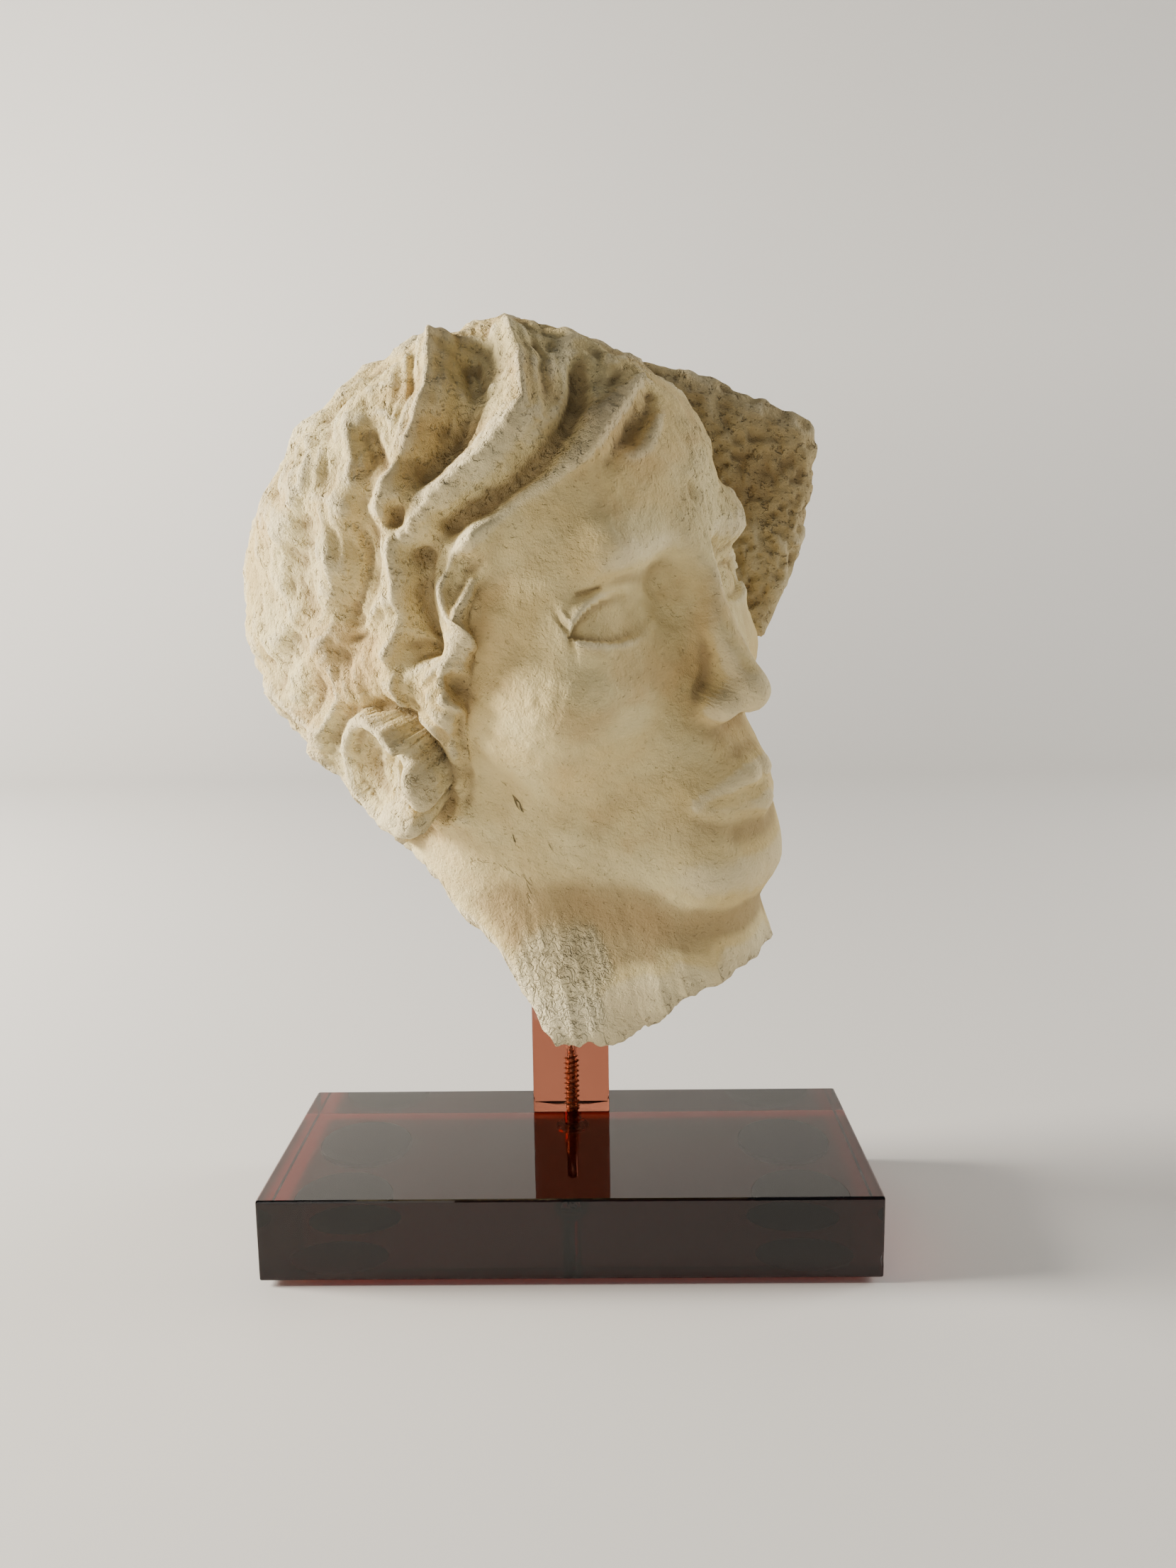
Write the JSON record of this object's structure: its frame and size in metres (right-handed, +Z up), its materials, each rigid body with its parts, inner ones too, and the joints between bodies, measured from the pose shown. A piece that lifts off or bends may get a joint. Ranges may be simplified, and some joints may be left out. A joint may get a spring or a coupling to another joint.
{
  "type": "stone head fragment on an acrylic stand",
  "caption": "Weathered stone head fragment in the classical style, its flat broken back bonded to a square acrylic post that is screwed to a thick amber acrylic base on round pads.",
  "frame": {"origin": "middle of the whole object's footprint box, on the plane that the pads stand on", "axes": "+Z up, +X to the viewer's right, +Y away from the viewer towards the post's back"},
  "size_m": [0.19, 0.1118, 0.2795],
  "materials": {
    "weathered_stone": "worn, matt, coarse pitted breaks",
    "amber_acrylic": "polished, transparent, dark amber brown",
    "coppery_steel": "plain wood screw, coppery",
    "dark_pad": "matt dark self-adhesive pad"
  },
  "bodies": {
    "root": {"head": "weathered_stone", "post": "amber_acrylic", "base_block": "amber_acrylic", "screw": "coppery_steel", "foot_pad_1": "dark_pad", "foot_pad_2": "dark_pad", "foot_pad_3": "dark_pad", "foot_pad_4": "dark_pad"}
  },
  "joints": []
}
